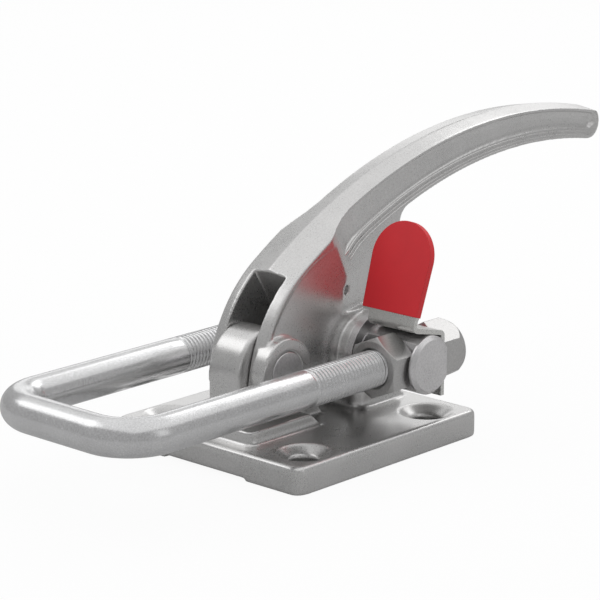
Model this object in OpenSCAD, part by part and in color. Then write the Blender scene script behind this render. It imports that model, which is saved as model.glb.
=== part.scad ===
// Over centre toggle latch with an adjustable U hook and a thumb lever.
// The origin is the centre of the mounting face, X points along the grip and Z up.

/* [Mounting plate] */
// Length of the plate, in line with the hook
plate_len = 115.5; // [110:0.5:130]
// Width of the plate, across the hook
plate_wid = 108; // [104:1:124]
// Thickness of the plate
plate_thk = 12; // [10:0.5:14]
// Radius of the plate's upright corners
plate_corner_r = 5; // [4:0.5:9]
// Radius along the plate's top edge
plate_edge_r = 2; // [1:0.25:3]
// Spacing of the bolt holes in line with the hook
hole_pitch_x = 78; // [72:1:82]
// Spacing of the bolt holes across the hook
hole_pitch_y = 79; // [76:1:80]
// Diameter of the bolt holes
hole_d = 13; // [9:0.5:14]
// Diameter of the dished mouth of a bolt hole
mouth_d = 24; // [19:0.5:25]
// Depth of the dished mouth
mouth_depth = 3.6; // [2:0.2:5]
// Width of the relief under the plate
relief_wid = 47; // [30:1:52]
// Depth of the relief under the plate
relief_depth = 1.1; // [0.5:0.1:2]

/* [Lug and saddle] */
// Height of the pivot above the mounting face
pivot_height = 39; // [38:0.5:41]
// Distance of the pivot in front of the plate's centre
pivot_set = 26.8; // [25:0.2:29]
// Thickness of the pivot lug
lug_thk = 17.5; // [15:0.5:19]
// Radius of the lug's round top
lug_r = 17.4; // [16.5:0.1:18.5]
// Distance of the lug's centre in front of the pivot
lug_set = 1.6; // [0:0.2:2]
// Angle of the lug's sloped back
lug_back_angle = 30; // [24:1:34]
// Width of the raised foot under the lug
foot_wid = 39; // [34:0.5:40]
// Height of the raised foot above the plate
foot_rise = 6; // [5:0.2:7.4]
// Reach of the foot in front of the lug's face
foot_lead = 4; // [2:0.5:5]
// Length of the foot's top
foot_len = 37.4; // [35:0.2:39]
// Angle of the slope behind the foot, from level
foot_slope = 38; // [32:1:55]
// Radius of the foot's corners
foot_corner_r = 3.5; // [3:0.5:6]
// Length of the saddle that stops the handle
saddle_len = 31; // [29:1:32]
// Reach of the saddle in front of the trunnion
saddle_lead = 6; // [5:0.5:8]
// Width of the saddle
saddle_wid = 34; // [30:1:35]
// Radius of the saddle's corners
saddle_corner_r = 5; // [4:0.5:8]
// Gap between the closed handle and the saddle
saddle_gap = 0.35; // [0.3:0.05:0.6]
// Radius of the fillet round the foot and the saddle
root_fillet_r = 2.5; // [1.5:0.25:3]

/* [Pivot and trunnion] */
// Diameter of the pivot pin
pin_d = 18; // [14:0.5:18]
// Depth of the chamfer round the pin's holes
pin_mouth = 0.5; // [0.3:0.1:1]
// Chamfer on the pivot pin's ends
pin_chamfer = 0.2; // [0.2:0.1:0.6]
// Distance from the pivot to the trunnion
crank_len = 53.2; // [51:0.2:56]
// Drop of the trunnion below the pivot, the over centre amount
over_centre = 1.3; // [0.5:0.1:2]
// Diameter of the trunnion
trunnion_d = 25.5; // [24:0.5:26]
// Length of the trunnion
trunnion_len = 106.8; // [105:0.2:110]
// Chamfer on the trunnion's ends
trunnion_chamfer = 1.6; // [0.5:0.1:2]
// Distance of the front seats from the trunnion's axis
seat_front = 7.5; // [7:0.25:9]
// Distance of the rear flats from the trunnion's axis
seat_rear = 9.4; // [8.8:0.1:10.4]
// Gap between a front nut's flat and the outer wall of its seat
seat_gap = 1.4; // [1:0.1:1.8]

/* [U hook] */
// Diameter of the hook's bar
rod_d = 16; // [14:0.5:16]
// Spacing of the hook's legs
leg_pitch = 75; // [74.5:0.25:77]
// Distance from the trunnion to the hook's cross bar
hook_reach = 161.7; // [140:1:180]
// Bend radius of the hook, at the middle of the bar
bend_r = 19; // [16:0.5:24]
// Length of the legs behind the trunnion
leg_tail = 28.6; // [27.5:0.2:32]
// Chamfer on the legs' ends
rod_chamfer = 1.2; // [0.5:0.1:2]

/* [Nuts and washers] */
// Width of the nuts across their flats
nut_af = 24; // [23:0.5:24.5]
// Height of the front nuts
front_nut_len = 13; // [10:0.5:16]
// Turn of the front nuts from point up
front_nut_turn = 6; // [0:1:12]
// Height of the rear nuts
rear_nut_len = 15.6; // [13:0.2:16]
// Length of the rear nuts' conical crown
crown_len = 4.6; // [2:0.2:6]
// Radius of the rear nuts' end face
crown_r = 11.9; // [10:0.1:12]
// Outer diameter of the thrust washers
thrust_d = 35.5; // [34:0.5:36]
// Thickness of the thrust washers
thrust_thk = 3.5; // [2.5:0.1:3.6]
// Outer diameter of the plain rear washer
washer_d = 26; // [24:0.5:27]

/* [Handle] */
// Gap between the arms
arm_gap = 18.1; // [17.9:0.1:20]
// Width over both arms
arm_wid = 29.4; // [27:0.2:31]
// Width over the pivot and trunnion bosses
boss_wid = 38.6; // [37.6:0.2:38.8]
// Radius of the arms' eyes round the pivot
eye_r = 14.6; // [13:0.25:15]
// Radius of the pivot bosses
pivot_boss_r = 14.8; // [13:0.1:15.5]
// Radius of the trunnion bosses
trunnion_boss_r = 17; // [16:0.1:17.3]
// Radius of the arms' front edge
arm_r = 64; // [58:0.5:70]
// Radius of the grip's bow
bow_r = 272.8; // [260:0.4:290]
// Distance of the bow's centre behind the pivot
bow_back = 163.7; // [160:0.1:168]
// Height of the bow's crest above the pivot
bow_rise = 87.7; // [84:0.1:90]
// Slope of the front face, from the middle ridge to each side
ridge_slope = 10; // [4:1:12]
// Depth of the grip, from its ridge to its underside
grip_depth = 17.1; // [14:0.1:20]
// Set back of the underside's centre, which tapers the grip
grip_taper = 10; // [5:0.5:14]
// Width of the grip
grip_wid = 18.4; // [16:0.2:20]
// Angle of the grip's far end, round the bow's centre, from straight up
tip_angle = 12.2; // [8:0.1:14]
// Depth of the channel in each flank of the grip
channel_depth = 1.5; // [0.8:0.1:2]
// Slope of the inner channel's floor along the grip
core_turn = 0.4; // [0.2:0.05:0.6]
// Thickness of the flange above the channel
flange_thk = 3.4; // [2.4:0.1:4]
// Height of the lower flange at its root
rail_depth = 5; // [4:0.1:6]
// Width of the step along the lower flange
rail_step = 2.4; // [1.8:0.1:3]
// Turn of the facets between the arms and the grip
facet_turn = 16; // [14:1:18]
// Depth of the panel in each arm's flank, at its back
panel_depth = 0.25; // [0.1:0.05:0.5]
// Turn of the panel's floor, which makes it deeper towards the front
panel_turn = 1; // [0.5:0.1:1.6]
// Width of the rim in front of the panel, at its foot
rim_wid = 2.7; // [2.2:0.1:4]
// Slope of the web between the arms, from level
web_slope = 59; // [55:1:62]
// Clearance between the web's foot and the pivot
web_clear = 29.2; // [29:0.1:31]
// Diameter of the small cross pin
stop_pin_d = 4.2; // [3:0.2:5]
// Depth of the cross pin's ends below the handle's flanks
stop_pin_sink = 3.4; // [1.6:0.2:3.8]

/* [Thumb lever] */
// Thickness of the lever's sheet
sheet_thk = 2.1; // [1.5:0.1:2.5]
// Width of the lever
lever_wid = 25.5; // [25:0.1:26]
// Foot of the lever below the trunnion's axis
lever_foot = 15.9; // [14:0.1:18]
// Slope of the lever over the trunnion
lever_slope = 13; // [10:0.5:14]
// Lean of the lever's upright
lever_lean = 18; // [12:0.5:20]
// Inside radius of the folds
fold_r = 1; // [0.6:0.1:1.5]
// Width of the thumb grip
thumb_wid = 31.7; // [30:0.1:33]
// How much narrower each side of the thumb grip is at its foot
thumb_taper = 0.8; // [0:0.1:1.2]
// Length of the thumb grip, along its lean
thumb_len = 39.2; // [34:0.2:44]
// Wall of the thumb grip over the sheet
thumb_wall = 0.35; // [0.25:0.05:0.8]
// Bare length of the upright below the thumb grip
thumb_bare = 3.5; // [3:0.1:6]

/* [Fits] */
// Radial clearance of the pin in the lug and of the trunnion in the arms
running_gap = 0.05; // [0.03:0.01:0.09]
// Radial clearance of the bar in the nuts
thread_gap = 0.08; // [0.03:0.01:0.1]
// Radial clearance of the bar in the trunnion's cross bores
bore_gap = 0.5; // [0.3:0.05:0.6]
// Side gap beside the thrust washers
side_gap = 0.3; // [0.25:0.05:0.4]
// Gap between the lever's sheet and the dip that wraps it
dip_gap = 0.02; // [0.01:0.01:0.04]

/* [Hidden] */
$fn = 96;
fine_fn = 360;
eps = 0.5;
big = 400;

// The two axes that everything is built round
pivot = [-pivot_set, pivot_height];
lug_c = pivot - [lug_set, 0];
trunnion_axis = [pivot[0] + sqrt(crank_len * crank_len - over_centre * over_centre),
                 pivot[1] - over_centre];
leg_y = leg_pitch / 2;
rod_r = rod_d / 2;
nut_r = nut_af / sqrt(3);
seat_x = trunnion_axis[0] - seat_front;
flat_x = trunnion_axis[0] + seat_rear;
rear_nut_x = flat_x + sheet_thk;
thrust_y = boss_wid / 2 + side_gap;

// One of the two points where a circle round p meets a circle round q
function meet(p, rp, q, rq, side) =
    let (d = norm(q - p),
         a = (rp * rp - rq * rq + d * d) / (2 * d),
         h = sqrt(rp * rp - a * a),
         u = (q - p) / d)
    p + a * u + side * h * [-u[1], u[0]];

function polar(r, a) = [r * cos(a), r * sin(a)];

// Foot of the tangent that touches two circles on their lower side
function lower_tangent(p, rp, q, rq) =
    let (d = norm(q - p), a = atan2(q[1] - p[1], q[0] - p[0]) - acos((rp - rq) / d))
    [p + polar(rp, a), q + polar(rq, a)];

// Centres of the handle's arcs: the arms' front edge touches the bow and the pivot's eye
bow_c = pivot + [bow_back, bow_rise - bow_r];
arm_c = meet(bow_c, bow_r - arm_r, pivot, arm_r - eye_r, -1);
arm_to_bow = (arm_c - bow_c) / norm(arm_c - bow_c);
under_r = bow_r - grip_depth;
under_c = bow_c + [grip_taper, 0];
ridge_drop = tan(ridge_slope);
edge_drop = grip_wid / 2 * ridge_drop;
tip_dir = polar(1, 90 - tip_angle);

// Distance from the bow's centre at which the tip's radial line meets an arc of the underside's family
function band_foot(r, shift) = shift * tip_dir[0] + sqrt(r * r - pow(shift * tip_dir[1], 2));

// The tip is a circle that touches the bow and the underside
tip_reach = (pow(under_r + bow_r, 2) - grip_taper * grip_taper)
            / (2 * (under_r + bow_r - grip_taper * tip_dir[0]));
tip_r = bow_r - tip_reach;
tip_c = bow_c + tip_reach * tip_dir;

module both_sides() {
    children();
    mirror([0, 1, 0]) children();
}

// A side view outline, extruded across the latch from y0 to y1
module across(y0, y1) {
    translate([0, y1, 0]) rotate([90, 0, 0]) linear_extrude(height = y1 - y0) children();
}

// A round bar across the latch
module cross_rod(at, r, y0, y1) {
    translate([at[0], y1, at[1]]) rotate([90, 0, 0]) cylinder(r = r, h = y1 - y0);
}

// A round bar in line with the latch
module long_rod(y, z, r, x0, x1) {
    translate([x0, y, z]) rotate([0, 90, 0]) cylinder(r = r, h = x1 - x0);
}

// Everything inside a plane that is turned by an angle and meets the flank at at, in a line of some slope
module wedge_half(at, turn, slope) {
    tilt = atan(slope * sin(turn));
    translate([at[0], -at[1], at[2]]) rotate([-tilt, 0, turn]) translate([-big, 0, -big])
        cube([2 * big, big, 2 * big]);
}

// Mounting plate: rounded corners and a rounded top edge
module rounded_bar_section(wid, high, r) {
    translate([-wid / 2 + r, 0]) square([wid - 2 * r, high]);
    translate([-wid / 2, 0]) square([wid, high - r]);
    for (side = [-1, 1]) translate([side * (wid / 2 - r), high - r]) circle(r);
}

module plate_blank() {
    cx = plate_len / 2 - plate_corner_r;
    cy = plate_wid / 2 - plate_corner_r;
    rotate([90, 0, 0]) linear_extrude(height = 2 * cy, center = true)
        rounded_bar_section(plate_len, plate_thk, plate_edge_r);
    rotate([90, 0, 90]) linear_extrude(height = 2 * cx, center = true)
        rounded_bar_section(plate_wid, plate_thk, plate_edge_r);
    for (sx = [-1, 1], sy = [-1, 1]) translate([sx * cx, sy * cy, 0]) rotate_extrude()
        intersection() {
            rounded_bar_section(2 * plate_corner_r, plate_thk, plate_edge_r);
            square([plate_corner_r, plate_thk]);
        }
}

module bolt_hole() {
    translate([0, 0, -eps]) cylinder(d = hole_d, h = plate_thk + 2 * eps);
    translate([0, 0, plate_thk - mouth_depth]) cylinder(d1 = hole_d, d2 = mouth_d, h = mouth_depth);
    translate([0, 0, plate_thk]) cylinder(d = mouth_d, h = eps);
}

module cove_section(r) {
    difference() {
        translate([-eps, -eps]) square(r + eps);
        translate([r, r]) circle(r);
    }
}

// A raised block with rounded corners and a fillet round its foot
module rooted_block(x0, x1, wid, top, corner_r, fillet_r) {
    cx = [x0 + corner_r, x1 - corner_r];
    cy = wid / 2 - corner_r;
    translate([x0, -cy, plate_thk - eps]) cube([x1 - x0, 2 * cy, top - plate_thk + eps]);
    translate([cx[0], -wid / 2, plate_thk - eps])
        cube([cx[1] - cx[0], wid, top - plate_thk + eps]);
    for (x = cx, side = [-1, 1]) translate([x, side * cy, plate_thk - eps]) {
        cylinder(r = corner_r, h = top - plate_thk + eps);
        translate([0, 0, eps]) rotate_extrude() translate([corner_r, 0]) cove_section(fillet_r);
    }
    both_sides() translate([cx[0], wid / 2, plate_thk]) rotate([90, 0, 90])
        linear_extrude(height = cx[1] - cx[0]) cove_section(fillet_r);
    translate([x0, -cy, plate_thk]) rotate([90, 0, 180])
        linear_extrude(height = 2 * cy) cove_section(fillet_r);
    translate([x1, cy, plate_thk]) rotate([90, 0, 0])
        linear_extrude(height = 2 * cy) cove_section(fillet_r);
}

// Pivot lug: round over the pin, upright in front, sloped behind
module lug() {
    back = lug_c + polar(lug_r, lug_back_angle);
    run = (back[1] - plate_thk + eps) * tan(lug_back_angle);
    across(-lug_thk / 2, lug_thk / 2) {
        translate(lug_c) circle(lug_r, $fn = fine_fn);
        polygon([lug_c - [lug_r, 0], lug_c, back, [back[0] + run, plate_thk - eps],
                 [lug_c[0] - lug_r, plate_thk - eps]]);
    }
}

foot_x = lug_c[0] - lug_r - foot_lead;
foot_top = plate_thk + foot_rise;
saddle_top = trunnion_axis[1] - trunnion_boss_r - saddle_gap;
saddle_x = trunnion_axis[0] - saddle_lead;

// The slope behind the foot runs into the fillet at the end of its block
module foot() {
    slope_x = foot_x + foot_len;
    slope_end = slope_x + foot_rise / tan(foot_slope);
    block_end = slope_end - root_fillet_r * (1 - tan(foot_slope / 2));
    difference() {
        rooted_block(foot_x, block_end, foot_wid, foot_top, foot_corner_r, root_fillet_r);
        translate([slope_x, -foot_wid, foot_top]) rotate([0, foot_slope, 0])
            cube([big, 2 * foot_wid, big]);
    }
}

module base() {
    color([0.78, 0.77, 0.76]) difference() {
        union() {
            plate_blank();
            foot();
            rooted_block(saddle_x, saddle_x + saddle_len, saddle_wid, saddle_top,
                         saddle_corner_r, root_fillet_r);
            lug();
        }
        for (sx = [-1, 1], sy = [-1, 1])
            translate([sx * hole_pitch_x / 2, sy * hole_pitch_y / 2, 0]) bolt_hole();
        translate([-plate_len, -relief_wid / 2, -relief_depth])
            cube([2 * plate_len, relief_wid, 2 * relief_depth]);
        cross_rod(pivot, pin_d / 2 + running_gap, -lug_thk, lug_thk);
    }
}

// Where a facet crosses the arm's flank, and the slope of the fold between them
facet_at = [trunnion_axis[0] - 11.8, arm_wid / 2, trunnion_axis[1] + 34.5];
fold_slope = 0.54;
// How far the crease where a facet meets the grip is filled
crease_fill = 0.6;
// The lower facets, which fall away round the small cross pin and end at a ledge
lower_fold_slope = -0.27;
ledge_z = trunnion_axis[1] + 18.6;
// The fin is the corner where the back edge turns in under the grip
fin = trunnion_axis + [30, 51.2];
fin_fillet_r = 8;
// Foot of the web, and the roof of the room over the trunnion
web_foot = pivot + polar(web_clear, 49);
web_foot_run = 7;
belly_z = trunnion_axis[1] + trunnion_d / 2 + 6.5;
stop_pin_at = trunnion_axis + [-10.2, 28];
stop_pin_chamfer = 0.4;
// How deep the bosses are rooted in the arms
boss_root = 3;
// The channels: rims, slopes at their near ends and where each starts
rim_thk = 1.2;
channel_lean = 28;
channel_turn = facet_turn + 6;
core_lean = 12;
core_start = 80;
core_rise = 0.9;
// The hollow that lightens the handle between the web and the fin
pocket_x = [web_foot[0] + 15, fin[0] - 12];
pocket_wid = 9;
pocket_roof = 16;
// The panel's lower back corner, and the shift of its front arc
panel_low = [trunnion_axis[0] - 12, ledge_z - 1];
panel_shift = polar(1.6, 70);

module ridged_disc(c, r) {
    half = arm_wid / 2 + eps;
    translate([c[0], 0, c[1]]) rotate([90, 0, 0]) rotate_extrude($fn = fine_fn) polygon([
        [0, -half], [r - half * ridge_drop, -half], [r, 0],
        [r - half * ridge_drop, half], [0, half]]);
}

// Everything under the ridged front and top face
module under_ridge() {
    ridged_disc(arm_c, arm_r);
    intersection() {
        ridged_disc(bow_c, bow_r);
        across(-big, big) polygon([
            bow_c - eps * arm_to_bow, bow_c + big * arm_to_bow,
            bow_c + big * arm_to_bow + big * [arm_to_bow[1], -arm_to_bow[0]],
            bow_c + big * [arm_to_bow[1], -arm_to_bow[0]]]);
    }
}

// Where a line from p along d leaves a circle
function line_exit(p, d, c, r) =
    let (b = d * (p - c), q = (p - c) * (p - c) - r * r)
    p + (-b + sqrt(b * b - q)) * d;

// The back edge runs from the trunnion boss to the fin, with a fillet under the grip
back_angle = atan2(fin[1] - trunnion_axis[1], fin[0] - trunnion_axis[0])
             + asin(trunnion_boss_r / norm(fin - trunnion_axis));
back_dir = polar(1, back_angle);
back_out = polar(1, back_angle - 90);
fillet_c = line_exit(fin + fin_fillet_r * back_out, back_dir, under_c, under_r - fin_fillet_r);

module side_outline() {
    eye_dir = (pivot - arm_c) / norm(pivot - arm_c);
    low = lower_tangent(pivot, eye_r, trunnion_axis, trunnion_boss_r);
    outside = pivot + 2 * eye_r * eye_dir;
    translate(pivot) circle(eye_r);
    translate(trunnion_axis) circle(trunnion_boss_r);
    translate(tip_c) circle(tip_r);
    polygon([pivot, low[0], low[1], trunnion_axis]);
    polygon([pivot, outside, [outside[0], big], fin + big * back_dir,
             trunnion_axis + trunnion_boss_r * back_out, trunnion_axis]);
    difference() {
        polygon([fin, bow_c + under_r * 0.8 * tip_dir, bow_c + bow_r * 1.2 * tip_dir,
                 [fin[0], big]]);
        translate(under_c) circle(under_r, $fn = fine_fn);
    }
    difference() {
        polygon([fillet_c - (fin_fillet_r + eps) * back_out,
                 line_exit(fin - eps * back_out, back_dir, under_c, under_r + eps),
                 under_c + (under_r + eps) * (fillet_c - under_c) / norm(fillet_c - under_c),
                 fillet_c]);
        translate(fillet_c) circle(fin_fillet_r);
    }
}

// The space between the arms: the pocket in front of the web and the room over the trunnion
module arm_space() {
    up = polar(1, 180 - web_slope);
    foot_back = [web_foot[0] + web_foot_run, belly_z];
    polygon([web_foot, web_foot + big * up, [-big, big], [-big, -big], [big, -big],
             [big, belly_z], foot_back]);
}

// Width of the handle: wide arms that turn in to the narrow grip
module flank_core(half, turn, at) {
    crease = [at[0] + (at[1] - half) / tan(turn), half + crease_fill, at[2]];
    translate([-big, -half, -big]) cube([2 * big, 2 * half, 2 * big]);
    for (plane = [[at, turn], [crease, turn / 2]]) intersection() {
        translate([-big, -arm_wid / 2, -big]) cube([2 * big, arm_wid, 2 * big]);
        wedge_half(plane[0], plane[1], fold_slope);
        mirror([0, 1, 0]) wedge_half(plane[0], plane[1], fold_slope);
    }
}

// The room outside the lower facets, above their ledge
module lower_facets() {
    fold = stop_pin_at[0] - 0.5 - panel_depth / tan(facet_turn);
    both_sides() difference() {
        translate([-big, -arm_wid, ledge_z]) cube([2 * big, arm_wid - grip_wid / 2, big]);
        wedge_half([fold, arm_wid / 2, stop_pin_at[1] + 6], facet_turn, lower_fold_slope);
    }
}

// A band along the grip's flank with a round end at the tip
module channel_outline(top_in, low_in, shift, lean) {
    c = bow_c + [grip_taper * shift, 0];
    top = bow_r - edge_drop - top_in;
    low = under_r + low_in;
    foot = band_foot(low, grip_taper * shift);
    difference() {
        intersection() {
            translate(bow_c) circle(top, $fn = fine_fn);
            polygon([bow_c, bow_c + 2 * bow_r * polar(1, 90 + lean), bow_c + 2 * bow_r * tip_dir]);
        }
        translate(c) circle(low, $fn = fine_fn);
    }
    translate(bow_c + (top + foot) / 2 * tip_dir) circle((top - foot) / 2);
}

module channels() {
    step_depth = channel_depth * 0.4;
    floor_y = grip_wid / 2 - channel_depth;
    difference() {
        across(-boss_wid / 2, boss_wid / 2)
            channel_outline(rim_thk, rail_depth - rail_step, 0.9, channel_lean);
        flank_core(grip_wid / 2 - step_depth, facet_turn, facet_at - [0, step_depth, 0]);
    }
    difference() {
        across(-boss_wid / 2, boss_wid / 2)
            channel_outline(rim_thk, rail_depth, 0.8, channel_lean);
        flank_core(floor_y, channel_turn, facet_at - [0, channel_depth / 3, 0]);
    }
    difference() {
        across(-boss_wid / 2, boss_wid / 2)
            channel_outline(flange_thk, rail_depth + core_rise, 0.8, core_lean);
        intersection() {
            wedge_half([core_start, floor_y, 0], core_turn, 0);
            mirror([0, 1, 0]) wedge_half([core_start, floor_y, 0], core_turn, 0);
        }
    }
}

module panel_outline() {
    intersection() {
        translate(arm_c + panel_shift)
            circle(arm_r - arm_wid / 2 * ridge_drop - rim_wid, $fn = fine_fn);
        polygon([pivot - [eye_r, 0], [pivot[0] - eye_r, big], [fin[0], big], [fin[0], ledge_z + 3], panel_low,
                 trunnion_axis, trunnion_axis - [0, 2 * trunnion_boss_r], pivot - [0, 2 * eye_r]]);
    }
}

// The room above a panel's floor
module panel() {
    difference() {
        across(0, arm_wid) panel_outline();
        mirror([0, 1, 0])
            wedge_half([stop_pin_at[0], arm_wid / 2 - panel_depth, 0], -panel_turn, 0);
    }
}

module handle() {
    color([0.80, 0.79, 0.78]) difference() {
        union() {
            difference() {
                intersection() {
                    under_ridge();
                    across(-arm_wid, arm_wid) side_outline();
                    flank_core(grip_wid / 2, facet_turn, facet_at);
                }
                channels();
                lower_facets();
                both_sides() panel();
            }
            cross_rod(pivot, pivot_boss_r, -boss_wid / 2, boss_root - arm_wid / 2);
            both_sides()
                cross_rod(trunnion_axis, trunnion_boss_r, arm_wid / 2 - boss_root, boss_wid / 2);
        }
        across(-arm_gap / 2, arm_gap / 2) arm_space();
        across(-pocket_wid / 2, pocket_wid / 2) intersection() {
            translate(bow_c) circle(bow_r - pocket_roof, $fn = fine_fn);
            translate([pocket_x[0], 0]) square([pocket_x[1] - pocket_x[0], big]);
        }
        cross_rod(pivot, pin_d / 2, -boss_wid, boss_wid);
        translate([pivot[0], -boss_wid / 2, pivot[1]]) rotate([-90, 0, 0])
            cylinder(r1 = pin_d / 2 + pin_mouth, r2 = pin_d / 2, h = pin_mouth);
        translate([pivot[0], arm_wid / 2, pivot[1]]) rotate([90, 0, 0])
            cylinder(r1 = pin_d / 2 + pin_mouth, r2 = pin_d / 2, h = pin_mouth);
        cross_rod(trunnion_axis, trunnion_d / 2 + running_gap, -boss_wid, boss_wid);
        cross_rod(stop_pin_at, stop_pin_d / 2, -boss_wid, boss_wid);
    }
}

// A bar across the latch with a chamfer at each end
module chamfered_rod(at, r, y0, y1, c) {
    translate([at[0], 0, at[1]]) rotate([90, 0, 0]) rotate_extrude() polygon([
        [0, -y1], [r - c, -y1], [r, c - y1], [r, -y0 - c], [r - c, -y0], [0, -y0]]);
}

module pivot_pin() {
    color([0.66, 0.65, 0.64])
        chamfered_rod(pivot, pin_d / 2, -boss_wid / 2, arm_wid / 2, pin_chamfer);
}

module stop_pin() {
    half = arm_wid / 2 - stop_pin_sink;
    color([0.45, 0.46, 0.45])
        chamfered_rod(stop_pin_at, stop_pin_d / 2, -half, half, stop_pin_chamfer);
}

module trunnion() {
    seat_y0 = thrust_y + thrust_thk + side_gap;
    seat_y1 = leg_y + nut_af / 2 + seat_gap;
    color([0.72, 0.71, 0.72]) difference() {
        chamfered_rod(trunnion_axis, trunnion_d / 2, -trunnion_len / 2, trunnion_len / 2, trunnion_chamfer);
        both_sides() {
            translate([seat_x - trunnion_d, seat_y0, 0]) cube([trunnion_d, seat_y1 - seat_y0, big]);
            translate([flat_x, seat_y0, 0]) cube([trunnion_d, trunnion_len, big]);
            long_rod(leg_y, trunnion_axis[1], rod_r + bore_gap, 0, big);
        }
    }
}

module u_hook() {
    cross_x = trunnion_axis[0] - hook_reach;
    leg_len = hook_reach + leg_tail - bend_r;
    color([0.80, 0.80, 0.81]) translate([0, 0, trunnion_axis[1]]) {
        both_sides() {
            translate([cross_x + bend_r, leg_y, 0]) rotate([0, 90, 0]) rotate_extrude() polygon([
                [0, 0], [rod_r, 0], [rod_r, leg_len - rod_chamfer], [rod_r - rod_chamfer, leg_len],
                [0, leg_len]]);
            translate([cross_x + bend_r, leg_y - bend_r, 0]) intersection() {
                rotate_extrude() translate([bend_r, 0]) circle(rod_r);
                translate([-big, 0, -big]) cube([big, big, 2 * big]);
            }
        }
        translate([cross_x, bend_r - leg_y, 0]) rotate([-90, 0, 0])
            cylinder(r = rod_r, h = leg_pitch - 2 * bend_r);
    }
}

// The nuts' edge bevel, how far their turned ends stand off the corners, and their threads' mouths
bevel = [0.3, 1.3];
corner_gap = 0.05;
mouth = 1;

// A hexagon nut on a leg, from x along +X, with its ends turned to the given radii
module nut(side, x, len, turn, front_r, front_len, back_r, back_len) {
    mid_r = nut_r + corner_gap;
    translate([x, side * leg_y, trunnion_axis[1]]) rotate([0, 90, 0]) difference() {
        intersection() {
            rotate([0, 0, turn]) cylinder(r = nut_r, h = len, $fn = 6);
            rotate_extrude() polygon([[0, 0], [front_r, 0], [mid_r, front_len],
                [mid_r, len - back_len], [back_r, len], [0, len]]);
        }
        translate([0, 0, -eps]) cylinder(r = rod_r + thread_gap, h = len + 2 * eps);
        translate([0, 0, -eps]) cylinder(r1 = rod_r + mouth + eps, r2 = rod_r, h = mouth + eps);
        translate([0, 0, len - mouth])
            cylinder(r1 = rod_r, r2 = rod_r + mouth + eps, h = mouth + eps);
    }
}

module front_nut(side) {
    bevel_r = nut_af / 2 - bevel[0];
    color([0.70, 0.68, 0.66]) nut(side, seat_x - front_nut_len, front_nut_len, front_nut_turn,
        bevel_r, bevel[1], bevel_r, bevel[1]);
}

module rear_nut(side) {
    color([0.68, 0.67, 0.66]) nut(side, rear_nut_x, rear_nut_len, 0,
        nut_af / 2 - bevel[0], bevel[1], crown_r, crown_len);
}

module front_nut_near() { front_nut(-1); }
module front_nut_far() { front_nut(1); }
module rear_nut_near() { rear_nut(-1); }
module rear_nut_far() { rear_nut(1); }

module thrust_washer(side) {
    color([0.76, 0.75, 0.74]) translate([trunnion_axis[0], side * (thrust_y + thrust_thk / 2),
        trunnion_axis[1]]) rotate([90, 0, 0]) difference() {
        cylinder(d = thrust_d, h = thrust_thk, center = true);
        cylinder(r = trunnion_d / 2 + running_gap, h = big, center = true);
    }
}

module thrust_washer_near() { thrust_washer(-1); }
module thrust_washer_far() { thrust_washer(1); }

module rear_washer_far() {
    color([0.74, 0.73, 0.72]) difference() {
        long_rod(leg_y, trunnion_axis[1], washer_d / 2, flat_x, rear_nut_x);
        long_rod(leg_y, trunnion_axis[1], rod_r + bore_gap, 0, big);
    }
}

// Side view of the folded lever: a plate on the flat, a slope over the trunnion and an upright
fold_rise = 10.2;
slope_len = 15.6;
fold_1 = [flat_x - fold_r, trunnion_axis[1] + fold_rise];
slope_dir = polar(1, 180 - lever_slope);
slope_up = polar(1, 90 - lever_slope);
lean_dir = polar(1, 90 - lever_lean);
lean_back = polar(1, 180 - lever_lean);
slope_start = fold_1 + (fold_r + sheet_thk) * slope_up;
fold_2 = slope_start + slope_len * slope_dir + fold_r * slope_up;
upright_foot = fold_2 + fold_r * lean_back;

// Middle of a fold's corner, at radius r, between the directions a0 and a1
function fold_point(c, r, a0, a1) = c + polar(r / cos((a1 - a0) / 2), (a0 + a1) / 2);

// What lies between a fold's arc and its sharp corner
module fold_corner(c, r, a0, a1) {
    difference() {
        polygon([c, c + polar(1.25 * r, a0), fold_point(c, 1.25 * r, a0, a1), c + polar(1.25 * r, a1)]);
        translate(c) circle(r);
    }
}

module lever_profile() {
    bottom = trunnion_axis[1] - lever_foot;
    outer_r = fold_r + sheet_thk;
    turn_1 = [0, 90 - lever_slope];
    turn_2 = [180 - lever_lean, 270 - lever_slope];
    top = upright_foot + (thumb_bare + thumb_len) * lean_dir;
    difference() {
        polygon([[flat_x, bottom], fold_1 + polar(fold_r, turn_1[0]), fold_1 + polar(fold_r, turn_1[1]),
            fold_point(fold_2, outer_r, turn_2[0], turn_2[1]), top + sheet_thk * lean_back, top,
            fold_2 + polar(fold_r, turn_2[0]), fold_2 + polar(fold_r, turn_2[1]),
            fold_point(fold_1, outer_r, turn_1[0], turn_1[1]), [rear_nut_x, bottom]]);
        translate(fold_1) circle(fold_r);
        translate(fold_2) circle(fold_r);
        fold_corner(fold_1, outer_r, turn_1[0], turn_1[1]);
        fold_corner(fold_2, outer_r, turn_2[0], turn_2[1]);
    }
}

// The upright stands a little inboard of the leg, and widens just above the fold
upright_len = thumb_bare + thumb_len - thumb_wall - dip_gap;
lever_y0 = -leg_y - lever_wid / 2;
thumb_y = -leg_y + 1.7;
tongue_wid = thumb_wid - 2 * (thumb_wall + dip_gap);
shoulder = 2.6;

// The upright is a tongue with a round top, wider than the folds under it
module tongue_outline(wid, len, low) {
    foot = wid / 2 - thumb_taper;
    top = len - wid / 2;
    polygon([[-foot, low], [foot, low], [wid / 2, top], [-wid / 2, top]]);
    translate([0, top]) circle(wid / 2);
}

// Places a flat outline on the lever's upright: x across, y along the lean
module on_upright(thk, out) {
    translate([upright_foot[0], thumb_y, upright_foot[1]]) rotate([0, lever_lean, 0])
        translate([-sheet_thk - out, 0, 0]) rotate([90, 0, 90]) linear_extrude(height = thk)
            children();
}

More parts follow.
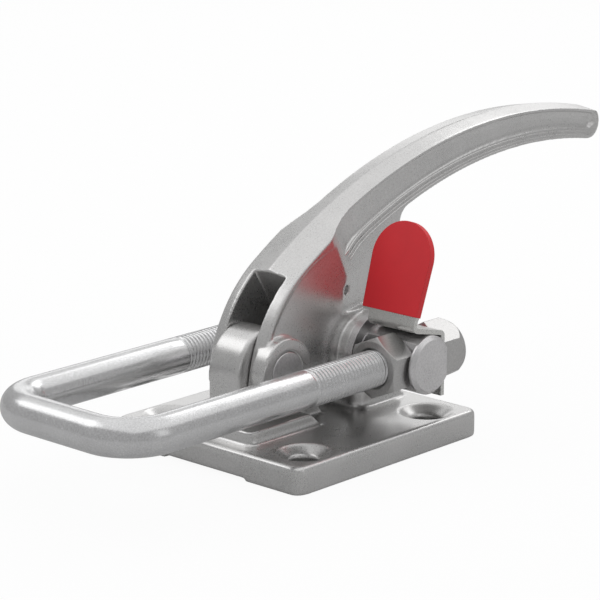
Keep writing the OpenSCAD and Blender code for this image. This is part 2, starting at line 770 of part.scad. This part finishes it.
module thumb_lever() {
    color([0.80, 0.80, 0.78]) difference() {
        intersection() {
            across(-trunnion_len, 0) lever_profile();
            on_upright(2 * big, big) {
                tongue_outline(tongue_wid, upright_len, shoulder);
                translate([lever_y0 - thumb_y, -big]) square([lever_wid, big + shoulder]);
            }
        }
        long_rod(-leg_y, trunnion_axis[1], rod_r + bore_gap, 0, big);
    }
}

module thumb_grip() {
    wall = thumb_wall + dip_gap;
    color([0.76, 0.20, 0.22]) difference() {
        on_upright(sheet_thk + 2 * wall, wall)
            tongue_outline(thumb_wid, thumb_bare + thumb_len, thumb_bare);
        on_upright(sheet_thk + 2 * dip_gap, dip_gap)
            tongue_outline(tongue_wid + 2 * dip_gap, upright_len + dip_gap, 0);
    }
}

base();
handle();
pivot_pin();
stop_pin();
trunnion();
u_hook();
thrust_washer_near();
thrust_washer_far();
front_nut_near();
front_nut_far();
rear_nut_near();
rear_nut_far();
rear_washer_far();
thumb_lever();
thumb_grip();
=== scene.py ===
"""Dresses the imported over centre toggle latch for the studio.

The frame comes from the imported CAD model. Each operator gives its pieces their finish or adds
their fine shape.
"""

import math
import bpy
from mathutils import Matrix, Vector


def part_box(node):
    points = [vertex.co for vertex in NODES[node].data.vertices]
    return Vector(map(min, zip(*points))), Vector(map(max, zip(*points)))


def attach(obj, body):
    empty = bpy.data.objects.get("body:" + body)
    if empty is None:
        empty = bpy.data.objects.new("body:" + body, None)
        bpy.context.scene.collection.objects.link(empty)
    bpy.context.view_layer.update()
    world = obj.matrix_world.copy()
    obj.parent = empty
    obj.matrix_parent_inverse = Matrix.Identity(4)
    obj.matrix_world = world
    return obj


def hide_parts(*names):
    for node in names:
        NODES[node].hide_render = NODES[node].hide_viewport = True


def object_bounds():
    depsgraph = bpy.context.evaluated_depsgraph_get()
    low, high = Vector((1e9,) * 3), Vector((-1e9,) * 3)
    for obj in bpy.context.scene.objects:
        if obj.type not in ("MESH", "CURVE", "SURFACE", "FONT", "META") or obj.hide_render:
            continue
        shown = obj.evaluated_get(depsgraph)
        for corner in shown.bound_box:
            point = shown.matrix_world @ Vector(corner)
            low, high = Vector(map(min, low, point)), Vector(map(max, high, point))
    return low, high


bl_info = {
    "name": "Over Centre Toggle Latch",
    "version": (1, 0, 0),
    "blender": (4, 5, 0),
    "location": "View3D > Sidebar > Latch",
    "description": "Finishes, rolled threads and a studio for the toggle latch",
    "category": "Object",
}

import bmesh
import bpy
from mathutils import Vector
from mathutils.bvhtree import BVHTree

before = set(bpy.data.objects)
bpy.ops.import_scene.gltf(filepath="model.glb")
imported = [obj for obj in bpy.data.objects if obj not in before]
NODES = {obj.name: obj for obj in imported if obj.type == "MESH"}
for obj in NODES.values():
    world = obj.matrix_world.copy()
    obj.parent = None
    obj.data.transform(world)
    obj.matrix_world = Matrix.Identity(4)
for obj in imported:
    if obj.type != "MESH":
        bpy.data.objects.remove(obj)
CAD_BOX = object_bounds()
MM = 0.001

# How metallic the steel is, and how far its grain stands out
METALLIC = 0.92
GRAIN_HEIGHT = 0.1 * MM
# Levels of detail in the fine grain and in the broad clouds
GRAIN_DETAIL = 3.0
CLOUD_DETAIL = 2.0
# Darkest and lightest tone of the metal and of the dipped coat, as shares of their colour
METAL_TONES = (0.84, 1.14)
DIP_TONES = (0.9, 1.1)
# How far the grain and the clouds change the tone and the roughness of either
METAL_TONE_WEIGHTS = (1.6, 0.6)
METAL_ROUGHNESS_WEIGHTS = (0.1, 0.08)
DIP_TONE_WEIGHTS = (0.4, 0.6)
DIP_ROUGHNESS_WEIGHTS = (0.1, 0)
# Painted shade in bores: the darkened tone, as a share of the metal's colour, and how the occlusion that
# paints it is stretched and lowered
BORE_PAINTED_SHADE_TONE = 0.15
BORE_CONTRAST = 3.0
BORE_SHADE = 0.8
BORE_SAMPLES = 8
BEVEL_SAMPLES = 6
# How far each smoothing step moves the points of a worn casting towards their neighbours
WEAR_STEP = 0.5
# Rows of points along each bead and points round it, and how far its place is levelled along the skin
BEAD_ROWS = 110
BEAD_SIDES = 10
BEAD_LEVELLING = 3
# Share of the offset and of the width that a bead loses along the grip, and its height as a
# share of its width
BEAD_CLOSING = 0.25
BEAD_THINNING = 0.55
BEAD_HEIGHT = 0.8
# Share of the width that is left at a bead's tips, and how fast it grows from there
BEAD_TIP = 0.25
BEAD_TIP_GROWTH = 60
# Where the rays that find the skin start, outside the grip
BEAD_RAY_START = 30 * MM
# Rows of points along the hook's thread, plain shank, bend and half cross bar, and points round the bar
THREAD_ROWS = 630
SHANK_ROWS = 12
BEND_ROWS = 24
CROSS_ROWS = 6
BAR_SIDES = 48
# The thread, in depths: how far a flank would fall in half a pitch, and how much is cut off the crest
FLANK_FALL = 2.1
CREST_CUT = 0.5
# Pitches that the thread takes to run out
RUN_OUT = 1.5
# Half the floor's width, its gap below the plate, the strength of its own white light, and the
# share of that light that the camera sees and that reflections see
FLOOR_REACH = 4.0
FLOOR_GAP = 0.1 * MM
FLOOR_WHITE = 1.06
FLOOR_SHOWN = 0.88
FLOOR_GLEAM = 0.04
# What the standing softboxes point at
LATCH_MIDDLE = (0.02, 0, 0.05)


class LatchMetalSettings(bpy.types.PropertyGroup):
    cast_color: bpy.props.FloatVectorProperty(
        name="Casting", description="Colour of the plate and the handle", subtype="COLOR",
        default=(0.68, 0.675, 0.67), min=0, max=1)
    bar_color: bpy.props.FloatVectorProperty(
        name="Bar", description="Colour of the drawn hook bar", subtype="COLOR",
        default=(0.72, 0.72, 0.725), min=0, max=1)
    turned_color: bpy.props.FloatVectorProperty(
        name="Turned pieces", description="Colour of the pins, the trunnion and the washers",
        subtype="COLOR", default=(0.73, 0.72, 0.725), min=0, max=1)
    nut_color: bpy.props.FloatVectorProperty(
        name="Nuts", description="Colour of the hexagon nuts", subtype="COLOR",
        default=(0.55, 0.545, 0.54), min=0, max=1)
    sheet_color: bpy.props.FloatVectorProperty(
        name="Sheet", description="Colour of the folded lever", subtype="COLOR",
        default=(0.74, 0.74, 0.72), min=0, max=1)
    cast_roughness: bpy.props.FloatProperty(
        name="Casting roughness", description="Roughness of the tumbled casting", default=0.29, min=0,
        max=1)
    bar_roughness: bpy.props.FloatProperty(
        name="Bar roughness", description="Roughness of the drawn bar", default=0.24, min=0, max=1)
    turned_roughness: bpy.props.FloatProperty(
        name="Turned roughness", description="Roughness of the turned pieces", default=0.30, min=0,
        max=1)
    edge_round: bpy.props.FloatProperty(
        name="Edge rounding", description="Radius that the metal's edges are worn to", default=0.5 * MM,
        min=0, max=2 * MM, unit="LENGTH")
    # Painted shade: how near a wall must be for the base colour inside a bore to be darkened
    painted_bore_shade_reach: bpy.props.FloatProperty(
        name="Bore reach", description="How near the opposite wall is where a bore looks dark",
        default=18 * MM, min=0, max=30 * MM, unit="LENGTH")


class LatchCastingSettings(bpy.types.PropertyGroup):
    grain_size: bpy.props.FloatProperty(
        name="Skin detail", description="Size of the smallest detail of the cast skin",
        default=0.5 * MM, min=0.3 * MM, max=2 * MM, unit="LENGTH")
    plate_wear: bpy.props.IntProperty(
        name="Plate wear", description="How far the plate's edges are worn round, in smoothing steps",
        default=38, min=0, max=80)
    handle_wear: bpy.props.IntProperty(
        name="Handle wear", description="How far the handle's edges are worn round, in smoothing steps",
        default=8, min=0, max=80)
    kept: bpy.props.FloatProperty(
        name="Kept triangles", description="Share of the skin's triangles that is kept", default=0.5,
        min=0.1, max=1, subtype="FACTOR")


class LatchBeadSettings(bpy.types.PropertyGroup):
    bow_middle: bpy.props.FloatVectorProperty(
        name="Bow's centre", description="Centre of the grip's underside, along X and Z", size=2,
        default=(145.4 * MM, -146.1 * MM), unit="LENGTH")
    bow_radius: bpy.props.FloatProperty(
        name="Underside radius", description="Radius of the grip's underside", default=255.7 * MM,
        unit="LENGTH")
    offsets: bpy.props.FloatVectorProperty(
        name="Offsets", description="How far each bead lies inside the underside", size=3,
        default=(4.6 * MM, 2.7 * MM, 1.1 * MM), unit="LENGTH")
    widths: bpy.props.FloatVectorProperty(
        name="Half widths", description="Half of each bead's width at its near end", size=3,
        default=(0.9 * MM, 0.45 * MM, 0.6 * MM), unit="LENGTH")
    near_end: bpy.props.FloatProperty(
        name="Near end", description="Angle of the beads' near ends, from straight up",
        default=math.radians(29.8), subtype="ANGLE")
    far_end: bpy.props.FloatProperty(
        name="Far end", description="Angle of the beads' far ends, from straight up",
        default=math.radians(-10.5), subtype="ANGLE")


class LatchThreadSettings(bpy.types.PropertyGroup):
    pitch: bpy.props.FloatProperty(
        name="Pitch", description="Pitch of the rolled thread", default=2 * MM, min=MM, max=4 * MM,
        unit="LENGTH")
    depth: bpy.props.FloatProperty(
        name="Depth", description="Depth of the rolled thread", default=0.8 * MM, min=0, max=2 * MM,
        unit="LENGTH")
    start: bpy.props.FloatProperty(
        name="Start", description="Where the thread begins along X", default=-36.5 * MM, unit="LENGTH")
    bend: bpy.props.FloatProperty(
        name="Bend radius", description="Radius of the hook's bends, at the middle of the bar",
        default=19 * MM, min=10 * MM, max=30 * MM, unit="LENGTH")
    chamfer: bpy.props.FloatProperty(
        name="End chamfer", description="Chamfer on the ends of the legs", default=1.2 * MM, min=0,
        max=3 * MM, unit="LENGTH")


class LatchGripSettings(bpy.types.PropertyGroup):
    dip_color: bpy.props.FloatVectorProperty(
        name="Dip", description="Colour of the dipped thumb grip", subtype="COLOR",
        default=(0.60, 0.014, 0.022), min=0, max=1)
    dip_roughness: bpy.props.FloatProperty(
        name="Dip roughness", description="Roughness of the dipped coat", default=0.42, min=0, max=1)


class LatchStageSettings(bpy.types.PropertyGroup):
    camera_place: bpy.props.FloatVectorProperty(
        name="Camera", description="Place of the camera", subtype="TRANSLATION",
        default=(-0.7925, -0.7340, 0.3450))
    camera_back: bpy.props.FloatVectorProperty(
        name="Camera direction", description="Direction from the latch to the camera",
        subtype="DIRECTION", default=(-0.7104, -0.6567, 0.2534))
    camera_lens: bpy.props.FloatProperty(
        name="Lens", description="Focal length of the camera in millimetres", default=157.0, min=20,
        max=400)
    floor_color: bpy.props.FloatVectorProperty(
        name="Floor", description="Colour of the floor", subtype="COLOR", default=(0.40, 0.40, 0.40),
        min=0, max=1)
    overhead_level: bpy.props.FloatProperty(
        name="Overhead level", description="Brightness of the overhead softbox, where 1 is white",
        default=0.48, min=0)
    side_level: bpy.props.FloatProperty(
        name="Side level", description="Brightness of the standing softboxes, where 1 is white",
        default=0.40, min=0)
    tent_level: bpy.props.FloatProperty(
        name="Tent level", description="Strength of the light tent on matt surfaces", default=0.8,
        min=0, max=2)
    tent_gloss: bpy.props.FloatProperty(
        name="Tent in gloss", description="Strength of the light tent in reflections", default=0.40,
        min=0, max=2)


class Value:
    """A number socket that builds Math nodes when it is used in an expression."""

    def __init__(self, shader, socket):
        self.shader = shader
        self.socket = socket

    def math(self, operation, first, second):
        return self.shader.node("Math", {"operation": operation}, {0: first, 1: second})

    def __add__(self, other):
        return self.math("ADD", self, other)

    def __sub__(self, other):
        return self.math("SUBTRACT", self, other)

    def __rsub__(self, other):
        return self.math("SUBTRACT", other, self)

    def __mul__(self, other):
        return self.math("MULTIPLY", self, other)

    __radd__ = __add__
    __rmul__ = __mul__


class Shader:
    """Builds one node tree, with every node made by the same method."""

    def __init__(self, tree):
        self.tree = tree
        tree.nodes.clear()

    def node(self, kind, settings=None, sockets=None, out=0):
        made = self.tree.nodes.new("ShaderNode" + kind)
        for name, value in (settings or {}).items():
            setattr(made, name, value)
        for name, value in (sockets or {}).items():
            if isinstance(value, Value):
                self.tree.links.new(value.socket, made.inputs[name])
            else:
                made.inputs[name].default_value = value
        return Value(self, made.outputs[out]) if made.outputs else None

    def mix(self, factor, first, second):
        return self.node("Mix", {"data_type": "RGBA"}, {0: factor, 6: first, 7: second}, out=2)

    def noise(self, place, scale, detail):
        return self.node("TexNoise", None, {"Vector": place, "Scale": scale, "Detail": detail})

    def grain(self, fine, broad, stretch=(1, 1, 1)):
        """A fine grain and broad clouds of the given scales per millimetre, each about 0.5 on average."""
        return (self.noise(self.place(stretch), fine, GRAIN_DETAIL),
                self.noise(self.place(), broad, CLOUD_DETAIL))

    def place(self, stretch=(1, 1, 1)):
        """Object coordinates in millimetres, stretched along the given axes."""
        here = self.node("TexCoord", None, None, out="Object")
        return self.node("VectorMath", {"operation": "MULTIPLY"}, {0: here, 1: [s / MM for s in stretch]})

    def ray(self, kind):
        """1 where the light path is a ray of the given kind, otherwise 0."""
        return self.node("LightPath", None, None, out="Is " + kind + " Ray")

    def surface(self, result):
        self.node("OutputMaterial", None, {"Surface": result})


def new_material(name):
    material = bpy.data.materials.new(name)
    material.use_nodes = True
    return material, Shader(material.node_tree)


def shade(color, level):
    return (*(c * level for c in color), 1)


def blend(noises, weights, average):
    """The weighted sum of a grain and its clouds, moved so that it has the given average."""
    fine, broad = noises
    return fine * weights[0] + broad * weights[1] + (average - sum(weights) / 2)


def mottled(s, noises, weights, color, tones):
    """A colour that wanders between its darkest and its lightest tone."""
    dark, light = tones
    return s.mix(blend(noises, weights, 0.5), shade(color, dark), shade(color, light))


def metal(name, color, roughness, grain, cloud, bump, edge=0, stretch=(1, 1, 1), bore=0):
    """Satin metal: a fine grain over broad, faint clouds, with worn edges and painted shade in its bores.

    grain and cloud are noise scales per millimetre, bump is the grain's strength, edge is the radius
    that the edges look worn to, and bore is how near the opposite wall is where painted shade darkens a
    bore.
    Edge or bore is left out where it is 0.
    """
    material, s = new_material(name)
    noises = s.grain(grain, cloud, stretch)
    tone = mottled(s, noises, METAL_TONE_WEIGHTS, color, METAL_TONES)
    # Painted shade: ambient occlusion darkens the base colour where a wall is near, as inside the plate's
    # bores
    if bore:
        open_sky = s.node("AmbientOcclusion", {"samples": BORE_SAMPLES, "only_local": True},
                          {"Distance": bore}, out="AO")
        tone = s.mix(open_sky * BORE_CONTRAST - BORE_SHADE, shade(color, BORE_PAINTED_SHADE_TONE), tone)
    worn = {"Normal": s.node("Bevel", {"samples": BEVEL_SAMPLES}, {"Radius": edge})} if edge else {}
    grained = s.node("Bump", None, {
        "Strength": bump, "Distance": GRAIN_HEIGHT, "Height": noises[0], **worn})
    s.surface(s.node("BsdfPrincipled", None, {
        "Base Color": tone, "Metallic": METALLIC, "Normal": grained,
        "Roughness": blend(noises, METAL_ROUGHNESS_WEIGHTS, roughness)}))
    return material


def dipped_plastic(color, roughness, edge):
    """The thumb grip's satin coat, with the faint unevenness of a dip."""
    material, s = new_material("dipped_plastic")
    noises = s.grain(fine=1.1, broad=0.09)
    tone = mottled(s, noises, DIP_TONE_WEIGHTS, color, DIP_TONES)
    soft = s.node("Bevel", {"samples": BEVEL_SAMPLES}, {"Radius": edge})
    skin = s.node("Bump", None, {
        "Strength": 0.12, "Distance": GRAIN_HEIGHT, "Height": noises[0], "Normal": soft})
    s.surface(s.node("BsdfPrincipled", None, {
        "Base Color": tone, "Roughness": blend(noises, DIP_ROUGHNESS_WEIGHTS, roughness),
        "Normal": skin}))
    return material


def dress(material, *names):
    for name in names:
        mesh = NODES[name].data
        mesh.materials.clear()
        mesh.materials.append(material)


def add_piece(name, mesh, material, body, slot, *replaced):
    piece = bpy.data.objects.new(name, mesh)
    bpy.context.scene.collection.objects.link(piece)
    mesh.materials.append(material)
    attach(piece, body)
    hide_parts(*replaced)


def cast_skin(node, name, wear, settings):
    """The CAD node's shape with its edges worn round and its corners filled, as on a tumbled casting."""
    rough = bpy.data.objects.new(name, NODES[node].data.copy())
    bpy.context.scene.collection.objects.link(rough)
    skin = rough.modifiers.new("skin", "REMESH")
    skin.mode = "VOXEL"
    skin.voxel_size = settings.grain_size
    worn = rough.modifiers.new("worn", "SMOOTH")
    worn.factor = WEAR_STEP
    worn.iterations = wear
    fewer = rough.modifiers.new("fewer", "DECIMATE")
    fewer.ratio = settings.kept
    depsgraph = bpy.context.evaluated_depsgraph_get()
    mesh = bpy.data.meshes.new_from_object(rough.evaluated_get(depsgraph))
    bpy.data.objects.remove(rough)
    mesh.name = name
    mesh.materials.clear()
    mesh.polygons.foreach_set("use_smooth", [True] * len(mesh.polygons))
    return mesh


def add_tube(work, rings):
    """Faces between closed rings of vertices, with a cap on each end."""
    sides = len(rings[0])
    faces = [work.faces.new((a[k], a[(k + 1) % sides], b[(k + 1) % sides], b[k]))
             for a, b in zip(rings, rings[1:]) for k in range(sides)]
    faces += [work.faces.new(rings[0]), work.faces.new(rings[-1])]
    bmesh.ops.recalc_face_normals(work, faces=faces)
    return faces


def circle(sides):
    """Angles of points spaced evenly round a tube."""
    return [2 * math.pi * k / sides for k in range(sides)]


def levelled(values, reach):
    """Each value averaged with its neighbours."""
    spans = [values[max(0, i - reach):i + reach + 1] for i in range(len(values))]
    return [sum(span) / len(span) for span in spans]


def bead_rows(skin, offset, width, settings):
    """Places along one bead on the near side, each with its way out from the bow and its half width."""
    middle = Vector((settings.bow_middle[0], 0, settings.bow_middle[1]))
    rows = []
    for i in range(BEAD_ROWS + 1):
        share = i / BEAD_ROWS
        angle = settings.near_end + (settings.far_end - settings.near_end) * share
        out = Vector((-math.sin(angle), 0, math.cos(angle)))
        place = middle + out * (settings.bow_radius + offset * (1 - BEAD_CLOSING * share))
        place.y = skin.ray_cast(place - Vector((0, BEAD_RAY_START, 0)), Vector((0, 1, 0)))[0].y
        tip = min(1, BEAD_TIP + BEAD_TIP_GROWTH * min(share, 1 - share))
        rows.append((place, out, width * (1 - BEAD_THINNING * share) * tip))
    return rows


def add_beads(mesh, settings):
    """Half round beads along both sides of the grip's lower flange, laid on the skin."""
    work = bmesh.new()
    work.from_mesh(mesh)
    skin = BVHTree.FromBMesh(work)
    for offset, width in zip(settings.offsets, settings.widths):
        rows = bead_rows(skin, offset, width, settings)
        level = levelled([place.y for place, _, _ in rows], BEAD_LEVELLING)
        for side in (1, -1):
            rings = []
            for (place, out, half), y in zip(rows, level):
                core = Vector((place.x, y * side, place.z))
                up = BEAD_HEIGHT * side * Vector((0, 1, 0))
                rings.append([work.verts.new(core + half * (math.cos(t) * out - math.sin(t) * up))
                              for t in circle(BEAD_SIDES)])
            for face in add_tube(work, rings):
                face.smooth = True
    work.to_mesh(mesh)
    work.free()


def hook_path(box, settings):
    """Places along the middle of the hook's bar, each with its way out of the hook, and the bar's radius."""
    low, high = box
    bar = (high.z - low.z) / 2
    level = (low.z + high.z) / 2
    leg_y = high.y - bar
    front = low.x + bar
    bend_x = front + settings.bend
    thread_len = high.x - settings.start
    shank_len = bend_x - settings.start
    side = Vector((0, 1, 0))
    half = [(Vector((high.x - thread_len * i / THREAD_ROWS, leg_y, level)), side)
            for i in range(THREAD_ROWS + 1)]
    half += [(Vector((settings.start + shank_len * i / SHANK_ROWS, leg_y, level)), side)
             for i in range(1, SHANK_ROWS)]
    for i in range(BEND_ROWS + 1):
        turn = math.radians(90 * i / BEND_ROWS)
        out = Vector((-math.sin(turn), math.cos(turn), 0))
        half.append((Vector((bend_x, leg_y - settings.bend, level)) + out * settings.bend, out))
    last, out = half[-1]
    half += [(Vector((last.x, last.y * (1 - i / CROSS_ROWS), last.z)), out) for i in range(1, CROSS_ROWS)]
    middle = (Vector((front, 0, level)), Vector((-1, 0, 0)))
    mirrored = [(Vector((place.x, -place.y, place.z)), Vector((out.x, -out.y, 0)))
                for place, out in reversed(half)]
    return half + [middle] + mirrored, bar


def thread_depth(x, angle, settings):
    """Depth of the thread below its crest at a place along the leg, with a run out at its start."""
    phase = (x / settings.pitch + angle / (2 * math.pi)) % 1
    wave = min(1, max(0, FLANK_FALL * abs(2 * phase - 1) - CREST_CUT))
    run_out = min(1, max(0, (x - settings.start) / (RUN_OUT * settings.pitch)))
    return settings.depth * wave * run_out


def make_hook_mesh(settings):
    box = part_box("u_hook")
    points, bar = hook_path(box, settings)
    end = box[1].x
    mesh = bmesh.new()
    rings = []
    for place, out in points:
        threaded = place.x > settings.start and abs(place.y) > bar
        hand = 1 if place.y > 0 else -1
        ring = []
        for angle in circle(BAR_SIDES):
            radius = bar
            if threaded:
                radius -= thread_depth(place.x, hand * angle, settings)
                radius = min(radius, bar - settings.chamfer + (end - place.x))
            way = math.cos(angle) * out + math.sin(angle) * Vector((0, 0, 1))
            ring.append(mesh.verts.new(place + radius * way))
        rings.append(ring)
    for face in add_tube(mesh, rings):
        face.smooth = len(face.verts) == 4
    data = bpy.data.meshes.new("hook_bar")
    mesh.to_mesh(data)
    mesh.free()
    return data


class LATCH_OT_castings(bpy.types.Operator):
    """Gives the mounting plate and the handle their tumbled cast finish, with painted shade in the plate's
    bores
    """

    bl_idname = "latch.castings"
    bl_label = "Plate and handle"

    def execute(self, context):
        look = context.scene.latch_metal
        casting = context.scene.latch_casting
        skin = {"grain": 1.5, "cloud": 0.06, "bump": 0.05}
        steel = metal("cast_steel", look.cast_color, look.cast_roughness, **skin)
        # The plate's steel gets painted shade darkening its bores
        steel_with_painted_bore_shade = metal("painted_bore_shade_steel", look.cast_color, look.cast_roughness, **skin, bore=look.painted_bore_shade_reach)
        plate = cast_skin("base", "plate_casting", casting.plate_wear, casting)
        add_piece("plate_casting", plate, steel_with_painted_bore_shade, "base", "cast", "base")
        handle = cast_skin("handle", "handle_casting", casting.handle_wear, casting)
        add_beads(handle, context.scene.latch_bead)
        add_piece("handle_casting", handle, steel, "handle", "cast", "handle")
        return {"FINISHED"}


class LATCH_OT_turned_pieces(bpy.types.Operator):
    """Gives the pins, the trunnion and the washers their turned finish"""

    bl_idname = "latch.turned_pieces"
    bl_label = "Pins, trunnion and washers"

    def execute(self, context):
        look = context.scene.latch_metal
        turned = metal("turned_steel", look.turned_color, look.turned_roughness, grain=1.2, cloud=0.08,
                       bump=0.02, edge=look.edge_round / 2, stretch=(1, 3, 1))
        dress(turned, "pivot_pin", "stop_pin", "trunnion", "thrust_washer_near", "thrust_washer_far",
              "rear_washer_far")
        return {"FINISHED"}


class LATCH_OT_nuts(bpy.types.Operator):
    """Gives the four hexagon nuts their machined finish"""

    bl_idname = "latch.nuts"
    bl_label = "Nuts"

    def execute(self, context):
        look = context.scene.latch_metal
        machined = metal("machined_steel", look.nut_color, look.turned_roughness, grain=1.4, cloud=0.1,
                         bump=0.02, edge=look.edge_round)
        dress(machined, "front_nut_near", "front_nut_far", "rear_nut_near", "rear_nut_far")
        return {"FINISHED"}


class LATCH_OT_u_hook(bpy.types.Operator):
    """Makes the hook's bent bar with its rolled threads"""

    bl_idname = "latch.u_hook"
    bl_label = "U hook"

    def execute(self, context):
        look = context.scene.latch_metal
        drawn = metal("drawn_bar", look.bar_color, look.bar_roughness, grain=1.5, cloud=0.08,
                      bump=0.04, edge=look.edge_round / 4)
        add_piece("hook_bar", make_hook_mesh(context.scene.latch_thread), drawn, "u_hook", "bar", "u_hook")
        return {"FINISHED"}


class LATCH_OT_thumb_lever(bpy.types.Operator):
    """Gives the folded lever and its dipped grip their finishes"""

    bl_idname = "latch.thumb_lever"
    bl_label = "Thumb lever"

    def execute(self, context):
        look = context.scene.latch_metal
        grip = context.scene.latch_grip
        sheet = metal("folded_sheet", look.sheet_color, look.cast_roughness, grain=1.8, cloud=0.07,
                      bump=0.02, edge=look.edge_round / 2)
        dress(sheet, "thumb_lever")
        dip = dipped_plastic(grip.dip_color, grip.dip_roughness, look.edge_round)
        dress(dip, "thumb_grip")
        return {"FINISHED"}


class LATCH_OT_stage(bpy.types.Operator):
    """Makes the floor, the light tent, the five softboxes and the camera"""

    bl_idname = "latch.stage"
    bl_label = "Stage"

    def make_floor(self, settings):
        corners = ((-1, -1), (1, -1), (1, 1), (-1, 1))
        mesh = bpy.data.meshes.new("floor")
        mesh.from_pydata([(x * FLOOR_REACH, y * FLOOR_REACH, 0) for x, y in corners], [], [(0, 1, 2, 3)])
        floor = bpy.data.objects.new("floor", mesh)
        bpy.context.scene.collection.objects.link(floor)
        floor.location.z = CAD_BOX[0].z - FLOOR_GAP
        material, s = new_material("floor_paper")
        lit = (s.ray("Camera") * FLOOR_SHOWN + s.ray("Transmission") * FLOOR_SHOWN
               + s.ray("Glossy") * FLOOR_GLEAM)
        paper = s.node("BsdfDiffuse", None, {"Color": (*settings.floor_color, 1)})
        white = s.node("Emission", None, {"Color": (1, 1, 1, 1), "Strength": FLOOR_WHITE})
        s.surface(s.node("MixShader", None, {0: lit, 1: paper, 2: white}))
        mesh.materials.append(material)

    def make_tent(self, settings):
        world = bpy.data.worlds.new("light_tent")
        bpy.context.scene.world = world
        world.use_nodes = True
        s = Shader(world.node_tree)
        level = ((s.ray("Camera") + s.ray("Transmission")) * (1 - settings.tent_level)
                 + s.ray("Glossy") * (settings.tent_gloss - settings.tent_level) + settings.tent_level)
        back = s.node("Background", None, {"Color": (1, 1, 1, 1), "Strength": level})
        s.node("OutputWorld", None, {"Surface": back})

    def make_softbox(self, name, place, size, level, target=LATCH_MIDDLE):
        """A soft lamp that faces its target. At level 1 it shows as white in a mirror."""
        lamp = bpy.data.lights.new(name, "AREA")
        lamp.shape = "RECTANGLE"
        lamp.size, lamp.size_y = size
        lamp.energy = level * math.pi * size[0] * size[1]
        box = bpy.data.objects.new(name, lamp)
        bpy.context.scene.collection.objects.link(box)
        box.location = place
        box.visible_camera = False
        aim = Vector(target) - Vector(place)
        box.rotation_mode = "QUATERNION"
        box.rotation_quaternion = aim.to_track_quat("-Z", "Y")

    def make_camera(self, settings):
        data = bpy.data.cameras.new("camera")
        data.sensor_width = 36
        data.lens = settings.camera_lens
        camera = bpy.data.objects.new("camera", data)
        bpy.context.scene.collection.objects.link(camera)
        camera.location = settings.camera_place
        camera.rotation_mode = "QUATERNION"
        camera.rotation_quaternion = (-Vector(settings.camera_back)).to_track_quat("-Z", "Y")
        bpy.context.scene.camera = camera

    def execute(self, context):
        settings = context.scene.latch_stage
        self.make_floor(settings)
        self.make_tent(settings)
        side_level = settings.side_level
        self.make_softbox("overhead_softbox", (0.15, 0.15, 0.85), (1.7, 1.9), settings.overhead_level,
                          target=(0.15, 0.15, 0))
        self.make_softbox("right_softbox", (0.15, -1.15, 0.55), (0.5, 0.7), side_level)
        self.make_softbox("left_softbox", (-0.42, 0.74, 0.90), (0.7, 0.5), side_level * 2)
        self.make_softbox("back_softbox", (0.95, 0.20, 0.80), (0.7, 0.45), side_level * 3.5)
        self.make_softbox("low_softbox", (1.0, 0.95, 0.42), (1.0, 0.4), side_level * 2)
        self.make_camera(settings)
        context.scene.view_settings.view_transform = "Standard"
        return {"FINISHED"}


class LATCH_PT_sidebar(bpy.types.Panel):
    """Lists the steps that dress the latch"""

    bl_label = "Toggle latch"
    bl_idname = "LATCH_PT_sidebar"
    bl_space_type = "VIEW_3D"
    bl_region_type = "UI"
    bl_category = "Latch"

    def draw(self, context):
        for step in STEPS:
            self.layout.operator(step.bl_idname)


STEPS = (LATCH_OT_stage, LATCH_OT_castings, LATCH_OT_turned_pieces, LATCH_OT_nuts, LATCH_OT_u_hook,
         LATCH_OT_thumb_lever)
SETTINGS = {"latch_metal": LatchMetalSettings, "latch_casting": LatchCastingSettings,
            "latch_bead": LatchBeadSettings, "latch_thread": LatchThreadSettings,
            "latch_grip": LatchGripSettings, "latch_stage": LatchStageSettings}
CLASSES = (*SETTINGS.values(), *STEPS, LATCH_PT_sidebar)


def register():
    for made in CLASSES:
        bpy.utils.register_class(made)
    for name, group in SETTINGS.items():
        setattr(bpy.types.Scene, name, bpy.props.PointerProperty(type=group))


def unregister():
    for name in SETTINGS:
        delattr(bpy.types.Scene, name)
    for made in reversed(CLASSES):
        bpy.utils.unregister_class(made)


def main():
    register()
    bpy.ops.latch.stage()
    bpy.ops.latch.castings()
    bpy.ops.latch.turned_pieces()
    bpy.ops.latch.nuts()
    bpy.ops.latch.u_hook()
    bpy.ops.latch.thumb_lever()


if __name__ == "__main__":
    main()
